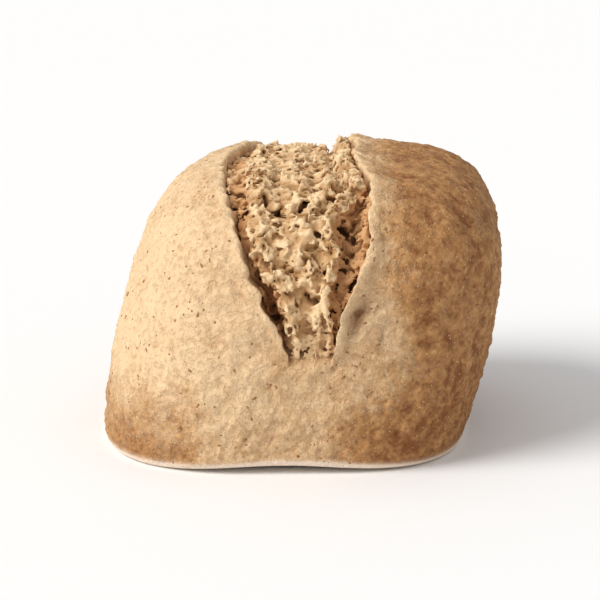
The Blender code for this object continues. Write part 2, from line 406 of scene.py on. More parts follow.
# Runs a geometry tree on a piece, with the settings given by input name, for a new plain piece
def growPiece(source, tree, settings, material, name):
    modifier = source.modifiers.new("grow", "NODES")
    modifier.node_group = tree
    settings = {**settings, "Material": material}
    for item in tree.interface.items_tree:
        if item.in_out == "INPUT" and item.name in settings:
            modifier[item.identifier] = settings[item.name]
    return linkPiece(meshThrough(source, modifier), name)


def storeValues(mesh, **fields):
    for name, values in fields.items():
        attribute = mesh.attributes.new(name, "FLOAT", "POINT")
        attribute.data.foreach_set("value", np.ascontiguousarray(values, dtype=np.float32).ravel())


def triangleCount(mesh):
    return sum(len(polygon.vertices) - 2 for polygon in mesh.polygons)


# Camera first: the photograph's place and direction, drawn in on the one roll
view = {
    "photoAim": (-0.0059, 0.0, -0.0003),  # what the middle of the photograph shows
    "tilt": 17.0,  # degrees that it looks down
    "distance": 0.67,
    "aim": (-0.0004, 0.0, 0.0284),  # the roll's middle
    "lens": 176.0,
    "sensor": 36.0,
}


def placeCamera():
    tilt = math.radians(view["tilt"])
    data = bpy.data.cameras.new("rollCamera")
    data.lens = view["lens"]
    data.sensor_width = view["sensor"]
    back = Vector((0, -math.cos(tilt), math.sin(tilt)))
    place = Vector(view["photoAim"]) + back * view["distance"]
    bpy.context.scene.camera = linkAimed(data, place)


placeCamera()
print("camera placed")


# Crust: its sections across the tear are (share of the tear's half width, shift to the right,
# height over the body), in metres. Each lip curls over the tear, and the crumb hides the floor.
crust = {
    "frontSection": (
        (-1.40, 0.0, 0.0), (-1.12, 0.0, 0.0001), (-1.04, 0.0002, 0.0004), (-1.005, 0.0006, 0.0004),
        (-0.985, 0.0007, 0.0), (-0.965, 0.0003, -0.0008), (-0.945, -0.0002, -0.0024),
        (-0.90, 0.0, -0.0064), (0.88, 0.0, -0.0064), (0.93, 0.0002, -0.0030),
        (0.955, -0.0002, -0.0008), (0.98, -0.0013, 0.0003), (1.01, -0.0015, 0.0011),
        (1.06, -0.0007, 0.0008), (1.13, 0.0, 0.0), (1.24, 0.0, -0.0002), (1.40, 0.0, 0.0),
    ),
    "crownSection": (
        (-1.40, 0.0, 0.0), (-1.12, 0.0, 0.0001), (-1.04, 0.0002, 0.0004), (-1.00, 0.0006, 0.0003),
        (-0.98, 0.0006, -0.0002), (-0.96, 0.0002, -0.0010), (-0.94, -0.0002, -0.0026),
        (-0.90, 0.0, -0.0064), (0.88, 0.0, -0.0064), (0.93, 0.0002, -0.0030),
        (0.955, -0.0003, -0.0007), (0.98, -0.0011, 0.0005), (1.01, -0.0012, 0.0012),
        (1.06, -0.0006, 0.0010), (1.18, 0.0, 0.0004), (1.40, 0.0, 0.0),
    ),
    "span": 1.4,  # of the sections, either way
    "floor": (-0.88, 0.86),  # between the torn walls
    "lipPlace": 0.995,
    "lipReach": 0.05,
    "lipRag": 0.0009,  # unevenness of the lips' edges
    "lipRagLength": 0.0030,
    "lipFrayLength": 0.0014,
    "liftSeeds": (3.1, 6.4),
    "shiftSeeds": (9.3, 1.7),
    "wallFrom": 0.975,  # of the torn walls under the lips
    "wallReach": 0.04,
    "wallRag": 0.0009,
    "wallRagLength": 0.0028,
    "wallSeed": 7.7,
    "deepFrom": 0.0030,  # depth where the floor starts to be painted darker, painted shade deep in the tear
    "cell": 0.00064,  # side of a cell on the open crust
    "lipCell": 0.017,  # shares of the half width across the lips and walls
    "hiddenCell": 0.13,  # and across the hidden floor
    "leftRun": 0.6396,  # that the open crust's cells are counted from, in paths over the crown
    "rightRun": 0.7912,
    "turnLines": 4,
    "strandPlace": 1.02,  # rounded strand that the right lip is drawn into at its low end
    "strandReach": 0.11,
    "strandHeight": 0.0011,
    "dentPlace": (1.29, 0.108),  # hollow behind the right lip, painted darker as painted shadow: shares of half width and length
    "dentReach": (0.19, 0.026),
    "dentDepth": 0.0014,
}
# How baked and how floury it is, with painted shade and painted light: weights of the stretches below,
# which go from none to full. The shaded stretch is painted darker and less floury, the lit stretch and the
# front paler
crustTone = {
    "bake": {"all": 0.34, "shaded": 0.34, "lit": -0.11, "lowBaked": 0.40, "front": -0.13},
    "flour": {"all": 0.52, "shaded": -0.28, "lit": 0.20, "low": -0.34},
    "shaded": (0.0245, 0.0355),  # painted shade, along x, to the right
    "shadedLean": 0.008,  # further left at the crown
    "lit": (0.002, -0.032),  # painted light, along x, to the left
    "middle": -0.002,
    "side": (0.008, 0.026),  # from the middle, either way
    "low": (0.026, 0.004),  # down to the base, at the sides
    "lowSpared": (0.30, 0.55),  # how much less the shaded side is darkened low down, and at its foot
    "foot": (0.018, 0.006),
    "frontTop": (0.034, 0.024),  # paler stretch under the tear, partly painted light
    "frontFoot": (0.005, 0.016),
    "flouryEdge": (0.0021, 0.0009),
    "open": (0.001, 0.003),  # above the base, where relief and flour start
}
crustRelief = {
    "Wrinkle Height": 0.0007,
    "Wrinkle Length": 0.0050,
    "Grain Height": 0.00036,
    "Grain Length": 0.0019,
    "Pit Depth": 0.0004,
    "Pit Spacing": 0.0031,
    "Pit Share": 0.30,
    "Seed": 5.0,
}


def evenly(start, end, cell):
    count = max(2, int(round((end - start) / cell)))
    return np.linspace(start, end, count + 1)[1:]


def crustGrid():
    turn = np.linspace(0, turnShare, crust["turnLines"] + 1)
    rim = np.concatenate([[-1.0], -1.0 + underShare + turn])
    cellShare = crust["cell"] / pathLength
    v = np.concatenate([rim, evenly(rim[-1], -rim[-1], cellShare), -rim[:-1][::-1]])
    span, (floorLeft, floorRight) = crust["span"], crust["floor"]
    lips = np.concatenate([
        [-span],
        evenly(-span, floorLeft, crust["lipCell"]),
        evenly(floorLeft, floorRight, crust["hiddenCell"]),
        evenly(floorRight, span, crust["lipCell"]),
    ])
    middle = columnPlaces(lips[None, :], v[:, None])
    leftCells, rightCells = [int(round(crust[name] / cellShare)) for name in ("leftRun", "rightRun")]
    leftShares = np.linspace(0, 1, leftCells + 1)[1:-1]
    rightShares = np.linspace(0, 1, rightCells + 1)[1:]
    left = rim[-1] + (middle[:, :1] - rim[-1]) * leftShares
    right = middle[:, -1:] + (-rim[-1] - middle[:, -1:]) * rightShares
    edge = np.repeat(rim[None, :], len(v), axis=0)
    u = np.concatenate([edge, left, middle, right, -edge[:, :-1][:, ::-1]], axis=1)
    return u, np.repeat(v[:, None], u.shape[1], axis=1)


# Column 1 of the sections is the shift and column 2 the height
def sectionAt(column, widthShare, crown):
    front, top = [
        curveThrough([(point[0], point[column]) for point in crust[name]], widthShare)
        for name in ("frontSection", "crownSection")]
    return front * (1 - crown) + top * crown


def raggedness(points, slowSeed, fineSeed):
    slow = noiseAt(points, crust["lipRagLength"], slowSeed)
    return slow + noiseAt(points, crust["lipFrayLength"], fineSeed) / 2


# Tone of the crust over the body, with painted shade and painted light: darker and less floury on the
# shaded right, paler and more floury on the lit left, paler under the tear, darker low down at the sides
def bakeAndFlour(points):
    x, z = points[..., 0], points[..., 2]
    tone = crustTone
    shaded = fade(x + tone["shadedLean"] * z / dough["height"], *tone["shaded"])
    lit = fade(x, *tone["lit"])
    side = fade(np.abs(x - tone["middle"]), *tone["side"])
    low = fade(z, *tone["low"]) * side
    front = fade(z, *tone["frontTop"]) * fade(z, *tone["frontFoot"]) * (1 - side)
    lowSpared, footSpared = tone["lowSpared"]
    spared = shaded * (lowSpared + footSpared * fade(z, *tone["foot"]))
    stretches = {"all": 1.0, "shaded": shaded, "lit": lit, "low": low, "front": front}
    stretches["lowBaked"] = low * (1 - spared)
    return [sum(weight * stretches[name] for name, weight in tone[kind].items())
            for kind in ("bake", "flour")]


def makeCrust():
    u, v = crustGrid()
    points, across, along = onBody(u, v)
    widthShare, lengthShare = inTear(across, along)
    depth = tearDepthShare(lengthShare)
    crown = crownShare(lengthShare)
    shift, height = sectionAt(1, widthShare, crown), sectionAt(2, widthShare, crown)
    strand = bell(widthShare, crust["strandPlace"], crust["strandReach"]) * depth * drawnShare(lengthShare)
    lip = np.maximum(bell(np.abs(widthShare), crust["lipPlace"], crust["lipReach"]) * depth, strand)
    wall = smoothStep((crust["wallFrom"] - np.abs(widthShare)) / crust["wallReach"]) * depth
    # Painted shade: the tear's floor is darker where it lies deep under the lips
    deep = smoothStep((-crust["deepFrom"] - height) / crust["deepFrom"]) * wall
    dentAcross = (widthShare - crust["dentPlace"][0]) / crust["dentReach"][0]
    dentAlong = (lengthShare - crust["dentPlace"][1]) / crust["dentReach"][1]
    dent = np.exp(-(dentAcross**2 + dentAlong**2))
    height = depth * height + lip * crust["lipRag"] * raggedness(points, *crust["liftSeeds"])
    height += crust["strandHeight"] * strand
    height += doughLumps(points) - crust["dentDepth"] * dent
    shift = depth * shift + lip * crust["lipRag"] * raggedness(points, *crust["shiftSeeds"])
    shift += wall * crust["wallRag"] * noiseAt(points, crust["wallRagLength"], crust["wallSeed"])
    placed = raiseFromBody(points, height, shift)
    placed[0], placed[-1] = points[0], points[-1]
    placed[:, 0], placed[:, -1] = points[:, 0], points[:, -1]
    index, quads = gridCells(*u.shape)
    rim = [*index[0, :], *index[1:, -1], *index[-1, :-1][::-1], *index[1:-1, 0][::-1]]
    corners = placed.reshape(-1, 3)
    low, high = corners.min(axis=0), corners.max(axis=0)
    nodeLow, nodeHigh = np.array(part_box(rollNode))
    shiftToNode = (nodeLow + nodeHigh) / 2 - (low + high) / 2
    shiftToNode[2] = nodeLow[2] - low[2]
    base = [int(number) for number in reversed(rim)]
    mesh = meshFrom(corners + shiftToNode, [*quads.tolist(), base], "crustSheet")
    bake, flour = bakeAndFlour(points)
    flouryEdge, aboveBase = [fade(points[..., 2], *crustTone[name]) for name in ("flouryEdge", "open")]
    storeValues(mesh, lip=lip, torn=wall, deep=deep, dent=dent, bake=bake, flour=flour,
                flouryEdge=flouryEdge, openCrust=(1 - wall) * (1 - lip) * aboveBase)
    work = bmesh.new()
    work.from_mesh(mesh)
    bmesh.ops.triangulate(work, faces=[face for face in work.faces if len(face.verts) > 4])
    bmesh.ops.recalc_face_normals(work, faces=work.faces)
    work.to_mesh(mesh)
    work.free()
    mesh.shade_smooth()
    return mesh, shiftToNode


# Crumb: it swells between two margins, and beside them it lies sunk in a crack on the left and in
# a groove on the right. Places are shares of the tear's half width and length, heights in metres.
crumb = {
    "leftMargin": (
        (0.0, -0.60), (0.05, -0.62), (0.10, -0.66), (0.15, -0.60), (0.19, -0.77),
        (0.24, -0.83), (0.28, -0.80), (0.34, -0.70), (0.42, -0.60), (0.52, -0.57), (0.62, -0.63),
        (0.76, -0.76), (1.0, -0.85),
    ),
    "rightMargin": (
        (0.0, 0.72), (0.05, 0.68), (0.10, 0.46), (0.15, 0.33), (0.19, 0.44), (0.24, 0.42),
        (0.28, 0.39), (0.32, 0.54), (0.36, 0.73), (0.42, 0.85), (1.0, 0.87),
    ),
    "frontSwell": (  # (share of the way from the middle to the margin, height over the body)
        (-1.0, -0.0006), (-0.80, 0.0004), (-0.30, -0.0014), (0.28, -0.0002), (0.62, -0.0013),
        (0.86, 0.0009), (1.0, 0.0),
    ),
    "crownSwell": (
        (-1.0, -0.0009), (-0.80, -0.0004), (-0.55, -0.0018), (-0.10, -0.0012), (0.18, -0.0020),
        (0.40, -0.0014), (0.60, -0.0036), (0.80, 0.0001), (0.91, 0.0001), (1.0, -0.0006),
    ),
    "crackDepth": (
        (0.0, 0.0020), (0.06, 0.0040), (0.12, 0.0052), (0.18, 0.0046), (0.26, 0.0030),
        (0.34, 0.0018), (0.45, 0.0013), (1.0, 0.0013),
    ),
    "grooveDepth": (
        (0.0, 0.0010), (0.05, 0.0018), (0.10, 0.0028), (0.16, 0.0034), (0.26, 0.0036),
        (0.34, 0.0032), (0.42, 0.0026), (1.0, 0.0022),
    ),
    "crackShape": ((0.0, 0.0), (0.25, 0.8), (0.5, 1.0), (0.8, 0.75), (1.0, 0.4)),
    "grooveShape": ((0.0, 0.0), (0.14, 0.85), (0.26, 1.0), (0.6, 0.68), (1.0, 0.3)),
    "edge": 0.965,
    "columns": 90,
    "rows": 160,
    "rowsFrom": -0.80,
    "rowsTo": 0.57,
    "plunge": 0.0016,  # of the flanks under the lips
    "plungeShare": 0.03,
    "endPlunge": 0.0006,
    "endCut": 0.0040,
    "endReach": 0.02,
    "strandHeight": 0.0010,  # lengthwise strands that the tearing dough was drawn into
    "strandWidth": 0.0026,
    "strandLength": 0.0130,
    "strandSeed": 2.6,
    "most": 196000,  # triangles
    "hiddenBelow": 0.0040,
    "hiddenKept": 0.35,
}
crumbRelief = {
    "Voxel": 0.00034,
    "Thickness": 0.0044,
    "Crag Height": 0.0013,
    "Crag Length": 0.0032,
    "Lump Height": 0.0012,
    "Lump Spacing": 0.0020,
    "Fine Height": 0.0006,
    "Fine Length": 0.0009,
    "Warp": 0.0017,
    "Large Spacing": 0.0041,
    "Large Share": 0.31,
    "Middle Spacing": 0.0024,
    "Middle Share": 0.38,
    "Small Spacing": 0.0014,
    "Small Share": 0.37,
    "Large Reach": 0.0026,
    "Middle Reach": 0.0018,
    "Small Reach": 0.0010,
    "Seed": 11.0,
}


# How far the crumb swells over the body, and how far it lies sunk in the crack and the groove
def crumbHeight(widthShare, lengthShare):
    left, right = [curveThrough(crumb[name], lengthShare) for name in ("leftMargin", "rightMargin")]
    swell = np.clip((2 * widthShare - left - right) / (right - left), -1.0, 1.0)
    front, crown = [curveThrough(crumb[name], swell) for name in ("frontSwell", "crownSwell")]
    height = front + (crown - front) * crownShare(lengthShare)
    inCrack = np.clip((left - widthShare) / (left + crumb["edge"]), 0.0, 1.0)
    inGroove = np.clip((widthShare - right) / (crumb["edge"] - right), 0.0, 1.0)
    sunk = curveThrough(crumb["crackDepth"], lengthShare) * curveThrough(crumb["crackShape"], inCrack)
    sunk += curveThrough(crumb["grooveDepth"], lengthShare) * curveThrough(crumb["grooveShape"], inGroove)
    return height, sunk


def makeCrumbSheet(shiftToNode):
    t = np.linspace(0, 1, crumb["columns"])
    v = np.linspace(crumb["rowsFrom"], crumb["rowsTo"], crumb["rows"])[:, None]
    widthShare = crumb["edge"] * (2 * t - 1) + 0 * v
    u = columnPlaces(widthShare, v)
    points, across, along = onBody(u, v + 0 * u)
    lengthShare = (along - tear["front"]) / (tear["back"] - tear["front"])
    depth = tearDepthShare(lengthShare)
    swell, sunk = crumbHeight(widthShare, lengthShare)
    strandPlaces = [across / crumb["strandWidth"], along / crumb["strandLength"], 0 * along]
    strandPlaces = np.stack(strandPlaces, axis=-1)
    strands = crumb["strandHeight"] * noiseAt(strandPlaces, 1.0, crumb["strandSeed"])
    high = depth * (swell - sunk + strands)
    fromEdge = np.minimum(t, 1 - t) + 0 * high
    high = high - crumb["plunge"] * (1 - smoothStep(fromEdge / crumb["plungeShare"]))
    pastEnds = np.maximum(0, np.maximum(-lengthShare, lengthShare - 1))
    high = high - (1 - depth) * crumb["endPlunge"]
    high = high - crumb["endCut"] * smoothStep(pastEnds / crumb["endReach"])
    high = high + doughLumps(points)
    sheet = raiseFromBody(points, high, np.zeros_like(high))
    mesh = meshFrom(sheet + shiftToNode, gridCells(*high.shape)[1].tolist(), "crumbSheet")
    inside = np.zeros_like(high)
    inside[1:-1, 1:-1] = 1.0
    storeValues(mesh, inside=inside, widthShare=widthShare, lengthShare=lengthShare, sunk=sunk * depth)
    return mesh


# Bran and flour, strewn in patches over the open crust
branFlakes = {
    "Per Square Metre": 52000.0,
    "Patch Length": 0.014,
    "Least Size": 0.00025,
    "Most Size": 0.0007,
    "Stretch": 2.2,
    "Thickness": 0.22,
    "Seed": 21,
}
flourGrains = {
    "Per Square Metre": 130000.0,
    "Patch Length": 0.008,
    "Least Size": 0.00016,
    "Most Size": 0.00036,
    "Stretch": 1.8,
    "Thickness": 0.40,
    "Seed": 47,
}
patchNoise, patchDensity = (0.35, 0.60), (0.25, 1.5)
noiseGain = 3.0  # noise mostly keeps within a third of its middle


def named(tree, name):
    node = addNode(tree, "GeometryNodeInputNamedAttribute", {"Name": name}, data_type="FLOAT")
    return node.outputs["Attribute"]


def seededPlace(tree, seed):
    position = made(tree, "GeometryNodeInputPosition")
    return vectorCalc(tree, "ADD", position, scaled(tree, (1.0, 1.0, 1.0), seed))


def waves(tree, vector, length, detail=2.0, roughness=0.5, output="Fac"):
    return addNode(tree, "ShaderNodeTexNoise", {
        "Vector": vector, "Scale": calc(tree, "DIVIDE", 1.0, length), "Detail": detail,
        "Roughness": roughness}).outputs[output]


def cellsIn(tree, vector, spacing, values=None, **settings):
    values = {"Vector": vector, "Scale": calc(tree, "DIVIDE", 1.0, spacing), **(values or {})}
    return addNode(tree, "ShaderNodeTexVoronoi", values, **settings).outputs


def unevenness(tree, vector, length, height, detail, roughness=0.5):
    centred = minus(tree, waves(tree, vector, length, detail, roughness), 0.5)
    return times(tree, centred, times(tree, height, noiseGain))


def storedOn(tree, geometry, name, value, kind="FLOAT"):
    values = {"Geometry": geometry, "Name": name, "Value": value}
    node = addNode(tree, "GeometryNodeStoreNamedAttribute", values, data_type=kind, domain="POINT")
    return node.outputs[0]


def nearestOn(tree, sheet, position, value):
    values = {"Mesh": sheet, "Sample Position": position, "Value": value}
    node = addNode(tree, "GeometryNodeSampleNearestSurface", values, data_type="FLOAT_VECTOR")
    return node.outputs["Value"]


def newGrowth(name, numbers):
    inputs = {"Geometry": "Geometry", **numbers, "Material": "Material"}
    return newTree(name, "GeometryNodeTree", inputs, {"Geometry": "Geometry"})


def finishGrowth(tree, start, end, geometry):
    smooth = made(tree, "GeometryNodeSetShadeSmooth", {"Geometry": geometry})
    whole = made(tree, "GeometryNodeRealizeInstances", {"Geometry": smooth})
    material = {"Geometry": whole, "Material": start["Material"]}
    feed(tree, end["Geometry"], made(tree, "GeometryNodeSetMaterial", material))
    arrange(tree)
    return tree


# Raises the open crust in wrinkles and grains and sinks small pits into it
def crustReliefTree():
    tree, start, end = newGrowth("crustRelief", crustRelief)
    place = seededPlace(tree, start["Seed"])
    wrinkles = unevenness(tree, place, start["Wrinkle Length"], start["Wrinkle Height"], 3.0, 0.55)
    grains = unevenness(tree, place, start["Grain Length"], start["Grain Height"], 2.0, 0.6)
    pitPlace = cellsIn(tree, place, start["Pit Spacing"])["Distance"]
    pits = remap(tree, pitPlace, 0.0, start["Pit Share"], start["Pit Depth"], 0.0, smooth=True)
    height = times(tree, minus(tree, plus(tree, wrinkles, grains), pits), named(tree, "openCrust"))
    kept = storedOn(tree, start["Geometry"], "relief", height)
    normal = made(tree, "GeometryNodeInputNormal")
    raised = {"Geometry": kept, "Offset": scaled(tree, normal, named(tree, "relief"))}
    return finishGrowth(tree, start, end, made(tree, "GeometryNodeSetPosition", raised))


# Strews small flat bodies over the open crust, in patches
def strewTree():
    tree, start, end = newGrowth("strewOnCrust", branFlakes)
    patches = waves(tree, seededPlace(tree, start["Seed"]), start["Patch Length"])
    share = times(tree, named(tree, "openCrust"), remap(tree, patches, *patchNoise, *patchDensity))
    points = addNode(tree, "GeometryNodeDistributePointsOnFaces", {
        "Mesh": start["Geometry"], "Density": times(tree, start["Per Square Metre"], share),
        "Seed": start["Seed"]}, distribute_method="RANDOM").outputs
    body = made(tree, "GeometryNodeMeshIcoSphere", {"Radius": 0.5, "Subdivisions": 1})

    def chance(least, most, extra):
        values = {2: least, 3: most, 8: plus(tree, start["Seed"], float(extra))}  # its float sockets
        return addNode(tree, "FunctionNodeRandomValue", values, data_type="FLOAT").outputs[1]

    size = chance(start["Least Size"], start["Most Size"], 1)
    scale = made(tree, "ShaderNodeCombineXYZ", {
        "X": times(tree, size, chance(1.0, start["Stretch"], 2)), "Y": size,
        "Z": times(tree, size, start["Thickness"])})
    laid = made(tree, "GeometryNodeInstanceOnPoints", {
        "Points": points["Points"], "Rotation": points["Rotation"],
        "Instance": body, "Scale": scale})
    turn = made(tree, "ShaderNodeCombineXYZ", {"Z": chance(0.0, 2 * math.pi, 3)})
    turned = made(tree, "GeometryNodeRotateInstances", {
        "Instances": laid, "Rotation": turn, "Local Space": True})
    return finishGrowth(tree, start, end, turned)


lumpSmoothness, lumpMiddle = 0.35, 0.45
poreStretches = {"Large": (1.0, 0.8, 0.8), "Middle": (0.85, 1.0, 0.9), "Small": (1.0, 1.0, 1.0)}
poreRadii = (0.45, 1.2)  # least and most, as shares of the pore's own share
poreClosing = 2.5  # how fast pores close below their reach
skinVoxels = 6.0  # that the density falls over at the crumb's skin


# Grows the torn crumb under a sheet: a volume with a craggy skin, and pores of three sizes sunk in it
def crumbTree():
    tree, start, end = newGrowth("tornCrumb", crumbRelief)
    sheet, thickness, voxel = start["Geometry"], start["Thickness"], start["Voxel"]
    position = made(tree, "GeometryNodeInputPosition")
    normal = made(tree, "GeometryNodeInputNormal")
    nearest = addNode(tree, "GeometryNodeProximity", {"Geometry": sheet, "Sample Position": position},
                      target_element="FACES").outputs
    outward = nearestOn(tree, sheet, position, scaled(tree, normal, named(tree, "inside")))
    away = vectorCalc(tree, "SUBTRACT", position, nearest["Position"])
    side = calc(tree, "SIGN", vectorCalc(tree, "DOT_PRODUCT", away, outward))
    signed = times(tree, nearest["Distance"], side)
    buried = times(tree, signed, -1.0)
    pastRim = times(tree, minus(tree, 0.5, vectorCalc(tree, "LENGTH", outward)), thickness)
    tooLow = minus(tree, buried, thickness)

    seeded = seededPlace(tree, start["Seed"])
    swirl = waves(tree, seeded, start["Crag Length"], 1.0, output="Color")
    swirl = vectorCalc(tree, "SUBTRACT", swirl, (0.5, 0.5, 0.5))
    swirl = scaled(tree, swirl, times(tree, start["Warp"], noiseGain))
    warped = vectorCalc(tree, "ADD", seeded, swirl)
    crag = unevenness(tree, seeded, start["Crag Length"], start["Crag Height"], 3.0, 0.6)
    fine = unevenness(tree, warped, start["Fine Length"], start["Fine Height"], 1.0)
    lumpShape = {"Smoothness": lumpSmoothness}
    clumps = cellsIn(tree, warped, start["Lump Spacing"], lumpShape, feature="SMOOTH_F1")["Distance"]
    clumps = times(tree, minus(tree, clumps, lumpMiddle), start["Lump Height"])
    skin = plus(tree, plus(tree, signed, clumps), plus(tree, crag, fine))

    def pores(kind):
        spacing = start[kind + " Spacing"]
        cells = cellsIn(tree, vectorCalc(tree, "MULTIPLY", warped, poreStretches[kind]), spacing)
        chance = made(tree, "ShaderNodeSeparateXYZ", {0: cells["Color"]})
        radius = times(tree, start[kind + " Share"], remap(tree, chance, 0.0, 1.0, *poreRadii))
        hole = times(tree, minus(tree, radius, cells["Distance"]), spacing)
        tooDeep = calc(tree, "MAXIMUM", 0.0, minus(tree, buried, start[kind + " Reach"]))
        return minus(tree, hole, times(tree, tooDeep, poreClosing))

    large, middle, small = [pores(kind) for kind in poreStretches]
    holes = calc(tree, "MAXIMUM", calc(tree, "MAXIMUM", large, middle), small)
    solid = calc(tree, "SMOOTH_MAX", skin, holes, voxel)
    solid = calc(tree, "MAXIMUM", solid, calc(tree, "MAXIMUM", tooLow, pastRim))
    density = minus(tree, 0.5, calc(tree, "DIVIDE", solid, times(tree, voxel, skinVoxels)), clamp=True)

    box = addNode(tree, "GeometryNodeBoundBox", {"Geometry": sheet}).outputs
    low = vectorCalc(tree, "SUBTRACT", box["Min"], thickness)
    high = vectorCalc(tree, "ADD", box["Max"], thickness)
    counts = vectorCalc(tree, "DIVIDE", vectorCalc(tree, "SUBTRACT", high, low), voxel)
    counts = addNode(tree, "ShaderNodeSeparateXYZ", {0: counts}).outputs
    counts = {"Resolution " + axis: made(tree, "FunctionNodeFloatToInt", {0: counts[axis]})
              for axis in "XYZ"}
    volume = made(tree, "GeometryNodeVolumeCube", {
        "Density": density, "Background": 0.0, "Min": low, "Max": high, **counts})
    mesh = made(tree, "GeometryNodeVolumeToMesh", {"Volume": volume, "Threshold": 0.5})
    mesh = storedOn(tree, mesh, "poreDepth", buried)
    places = {"X": named(tree, "widthShare"), "Y": named(tree, "lengthShare"), "Z": named(tree, "sunk")}
    place = made(tree, "ShaderNodeCombineXYZ", places)
    place = nearestOn(tree, sheet, position, place)
    return finishGrowth(tree, start, end, storedOn(tree, mesh, "tearPlace", place, "FLOAT_VECTOR"))


# Keeps a piece's largest connected body, so that no scrap floats in a pore
def keepLargestBody(piece):
    work = bmesh.new()
    work.from_mesh(piece.data)
    left, bodies = set(work.verts), []
    while left:
        waiting, body = [left.pop()], set()
        while waiting:
            here = waiting.pop()
            body.add(here)
            reached = left.intersection(edge.other_vert(here) for edge in here.link_edges)
            left -= reached
            waiting += reached
        bodies.append(body)
    scraps = set(work.verts) - max(bodies, key=len)
    bmesh.ops.delete(work, geom=list(scraps), context="VERTS")
    work.to_mesh(piece.data)
    work.free()
    print(len(bodies) - 1, "scraps dropped from", piece.name)


# Thins the crumb where it is hidden, then all of it, down to the most that a piece may have
def thinPiece(piece):
    depths = np.empty(len(piece.data.vertices), dtype=np.float32)
    piece.data.attributes["poreDepth"].data.foreach_get("value", depths)
    hidden = piece.vertex_groups.new(name="hidden")
    hidden.add(np.flatnonzero(depths > crumb["hiddenBelow"]).tolist(), 1.0, "REPLACE")
    for group, ratio in (("hidden", crumb["hiddenKept"]), ("", None)):
        triangles = triangleCount(piece.data)
        modifier = piece.modifiers.new("thin", "DECIMATE")
        modifier.vertex_group = group
        modifier.ratio = min(1.0, ratio or crumb["most"] / triangles)
        before, piece.data = piece.data, meshThrough(piece, modifier)
        bpy.data.meshes.remove(before)
        print(piece.name, "thinned from", triangles, "to", triangleCount(piece.data), "triangles")
    piece.vertex_groups.clear()
    piece.data.shade_smooth()


# Shared effects. Each gives masks or a height that the materials colour in their own way.
def newEffect(name, numbers, *outputs):
    inputs = {"Vector": "Vector", **numbers}
    tree, start, end = newTree(name, "ShaderNodeTree", inputs, dict.fromkeys(outputs, "Float"))
    return tree, start, end, start["Vector"]


def finishEffect(tree, end, *values):
    for socket, value in zip(end, values):
        feed(tree, socket, value)
    arrange(tree)
    return tree


dust = {
    "patchWeight": 0.55,
    "grainWeight": 0.45,
    "bareMost": 0.92,  # noise that stays bare of flour at amount 0, and how much less at 1
    "bareLess": 0.84,
    "film": (-0.20, 0.24),
    "grainBare": 0.55,
    "grains": (0.16, 0.30),
}


def flourDustGroup():
    tree, start, end, place = newEffect(
        "flourDust", {"Amount": 0.5, "Patch Length": 0.012, "Grain Length": 0.0007}, "Film", "Grains")
    patch = waves(tree, place, start["Patch Length"], 3.0, 0.6)
    grain = waves(tree, place, start["Grain Length"], 3.0, 0.75)
    blend = plus(tree, times(tree, patch, dust["patchWeight"]), times(tree, grain, dust["grainWeight"]))
    bare = minus(tree, dust["bareMost"], times(tree, start["Amount"], dust["bareLess"]))
    film = remap(tree, minus(tree, blend, bare), *dust["film"], smooth=True)
    bare = times(tree, bare, dust["grainBare"])
    grains = remap(tree, minus(tree, grain, bare), *dust["grains"], smooth=True)
    return finishEffect(tree, end, film, grains)


speck = {
    "swirl": 1.6,  # swirls to a spacing, and how far they shift a speck's outline
    "shift": 0.9,
    "sizes": (0.5, 1.3),  # least and most, as shares of the size
    "edge": (-0.05, 0.05),
}


def branSpeckGroup():
    tree, start, end, place = newEffect(
        "branSpecks", {"Spacing": 0.0022, "Size": 0.26, "Share": 0.5}, "Specks", "Tone")
    spacing = start["Spacing"]
    swirl = waves(tree, place, calc(tree, "DIVIDE", spacing, speck["swirl"]), 1.0, output="Color")
    swirl = vectorCalc(tree, "SUBTRACT", swirl, (0.5, 0.5, 0.5))
    swirl = scaled(tree, swirl, times(tree, spacing, speck["shift"]))
    cells = cellsIn(tree, vectorCalc(tree, "ADD", place, swirl), spacing)
    chance = addNode(tree, "ShaderNodeSeparateColor", {0: cells["Color"]}).outputs
    size = times(tree, start["Size"], remap(tree, chance[1], 0.0, 1.0, *speck["sizes"]))
    inside = remap(tree, minus(tree, size, cells["Distance"]), *speck["edge"], smooth=True)
    there = calc(tree, "LESS_THAN", chance[0], start["Share"])
    return finishEffect(tree, end, times(tree, inside, there), chance[2])


def toneDriftGroup():
    tree, start, end, place = newEffect("toneDrift", {"Length": 0.015, "Contrast": 1.0}, "Drift")
    slow = waves(tree, place, start["Length"], 3.0, 0.55)
    centred = times(tree, minus(tree, slow, 0.5), start["Contrast"])
    return finishEffect(tree, end, plus(tree, 0.5, centred, clamp=True))


grainWeights = (0.5, 0.3, 0.2)  # of the coarse grain, the fine grain and the pits


def breadGrainGroup():
    tree, start, end, place = newEffect("breadGrain", {
        "Coarse Length": 0.0022, "Fine Length": 0.0006, "Pit Spacing": 0.0013, "Pit Share": 0.4}, "Height")
    coarse = waves(tree, place, start["Coarse Length"])
    fine = waves(tree, place, start["Fine Length"], roughness=0.6)
    pitPlace = cellsIn(tree, place, start["Pit Spacing"])["Distance"]
    pits = remap(tree, pitPlace, 0.0, start["Pit Share"], 1.0, 0.0, smooth=True)
    coarseWeight, fineWeight, pitWeight = grainWeights
    height = plus(tree, times(tree, coarse, coarseWeight), times(tree, fine, fineWeight))
    return finishEffect(tree, end, minus(tree, height, times(tree, pits, pitWeight)))


flourDust, branSpecks = flourDustGroup(), branSpeckGroup()
toneDrift, breadGrain = toneDriftGroup(), breadGrainGroup()


def useGroup(tree, group, place, values=None):
    return addNode(tree, "ShaderNodeGroup", {"Vector": place, **(values or {})}, node_tree=group).outputs


def driftOf(tree, place, length, contrast):
    return useGroup(tree, toneDrift, place, {"Length": length, "Contrast": contrast})["Drift"]


def attributeValue(tree, name, output="Fac"):
    node = addNode(tree, "ShaderNodeAttribute", attribute_name=name, attribute_type="GEOMETRY")
    return node.outputs[output]


